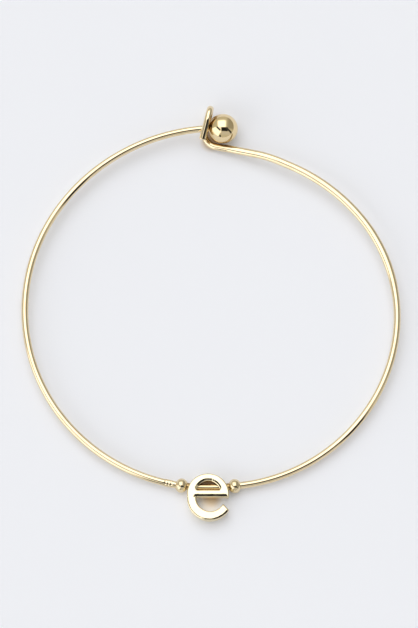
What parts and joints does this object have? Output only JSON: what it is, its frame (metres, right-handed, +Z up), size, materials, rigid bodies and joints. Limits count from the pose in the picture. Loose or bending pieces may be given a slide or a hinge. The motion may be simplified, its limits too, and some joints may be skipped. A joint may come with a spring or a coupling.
{
  "type": "charm bangle",
  "caption": "Round wire bangle closed by a hook over a ball end, with a small letter charm held on the wire between beads.",
  "frame": {"origin": "on the ground under the middle of the whole piece", "axes": "+Z up as the bangle lies on its side, -Y towards the charm, +Y towards the hook and ball"},
  "size_m": [0.0664, 0.0755, 0.0051],
  "materials": {
    "wire_gold": "polished pale gold plating on brass wire, with faint drawing lines",
    "ball_gold": "mirror-polished pale gold plating",
    "charm_gold": "polished cast brass with pale gold plating, softly waved",
    "bead_gold": "polished pale gold plating, lightly rubbed"
  },
  "bodies": {
    "bangle": {"bangle_wire": "wire_gold", "end_ball": "ball_gold", "bead_left": "bead_gold", "bead_right": "bead_gold"},
    "charm": {"initial_charm": "charm_gold"}
  },
  "joints": [
    {"name": "charm_swivel", "type": "hinge", "parent": "bangle", "child": "charm", "pos_m": [-0.00045, -0.0318, 0.00125], "axis": [1, 0, 0], "continuous": true}
  ]
}
